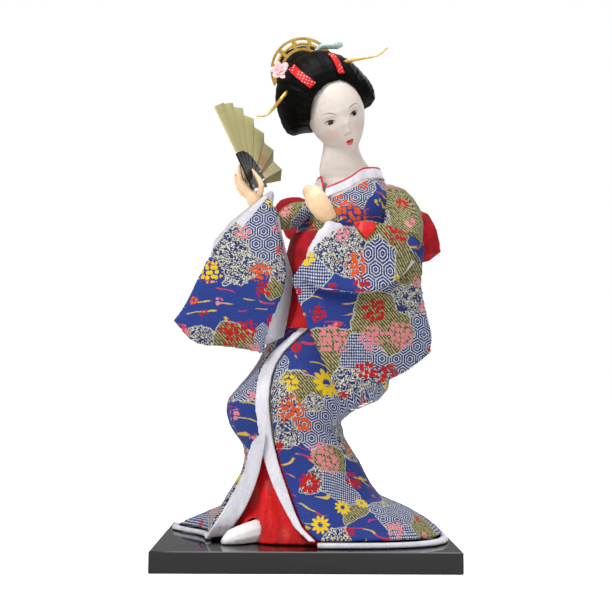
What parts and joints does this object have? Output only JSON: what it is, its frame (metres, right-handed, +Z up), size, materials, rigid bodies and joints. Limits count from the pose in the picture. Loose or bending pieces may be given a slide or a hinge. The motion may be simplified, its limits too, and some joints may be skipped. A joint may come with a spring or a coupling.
{
  "type": "kimono dancer figurine",
  "caption": "Display doll in a blue brocade kimono with a red obi, dancing with a folding fan, fixed on a black lacquered board.",
  "frame": {"origin": "centre of the underside of the board", "axes": "+Z up, the figure and its board face -Y, +X is to the right of someone who looks at the figure's front"},
  "size_m": [0.1725, 0.115, 0.3171],
  "materials": {
    "hair": "black rayon thread",
    "red_satin": "red crepe and satin",
    "skin": "flesh-coloured painted resin",
    "brocade": "blue figured brocade",
    "black_rib": "gloss black plastic",
    "steel": "plain steel",
    "white_satin": "white satin",
    "wood": "bare softwood",
    "tabi": "white cotton",
    "gilt": "gilt plastic",
    "gold_paper": "gold paper",
    "face": "off-white painted resin",
    "lacquer": "gloss black lacquer",
    "padding": "straw and wadding padding under cotton",
    "jade": "pale green plastic",
    "pink": "pink plastic"
  },
  "bodies": {
    "root": {"black_wig": "hair", "bow_left_loop": "red_satin", "bow_left_tail": "red_satin", "bow_middle_band": "red_satin", "bow_right_loop": "red_satin", "bow_right_tail": "red_satin", "breast_hand": "skin", "brocade_bodice": "brocade", "brocade_skirt": "brocade", "fan_hand": "skin", "fan_ribs": "black_rib", "fan_rivet": "steel", "front_edge_band": "white_satin", "front_leg_post": "wood", "front_screw": "steel", "front_tabi_foot": "tabi", "gilt_comb": "gilt", "gold_fan_leaf": "gold_paper", "hair_knot": "hair", "head_and_neck": "face", "lacquer_board": "lacquer", "left_hair_pin": "gilt", "left_hair_ribbon": "red_satin", "left_inner_sleeve": "white_satin", "left_sleeve": "brocade", "left_upper_sleeve": "brocade", "padded_body": "padding", "padded_hem": "white_satin", "pale_bud": "jade", "pink_flower": "pink", "rear_leg_post": "wood", "rear_screw": "steel", "rear_tabi_foot": "tabi", "red_collar_piping": "red_satin", "red_obi": "red_satin", "red_underskirt": "red_satin", "right_hair_pin": "gilt", "right_hair_ribbon": "red_satin", "right_inner_sleeve": "white_satin", "right_sleeve": "brocade", "right_upper_sleeve": "brocade", "white_lining_flap": "white_satin", "white_obi_cord": "white_satin", "white_under_collar": "white_satin"}
  },
  "joints": []
}
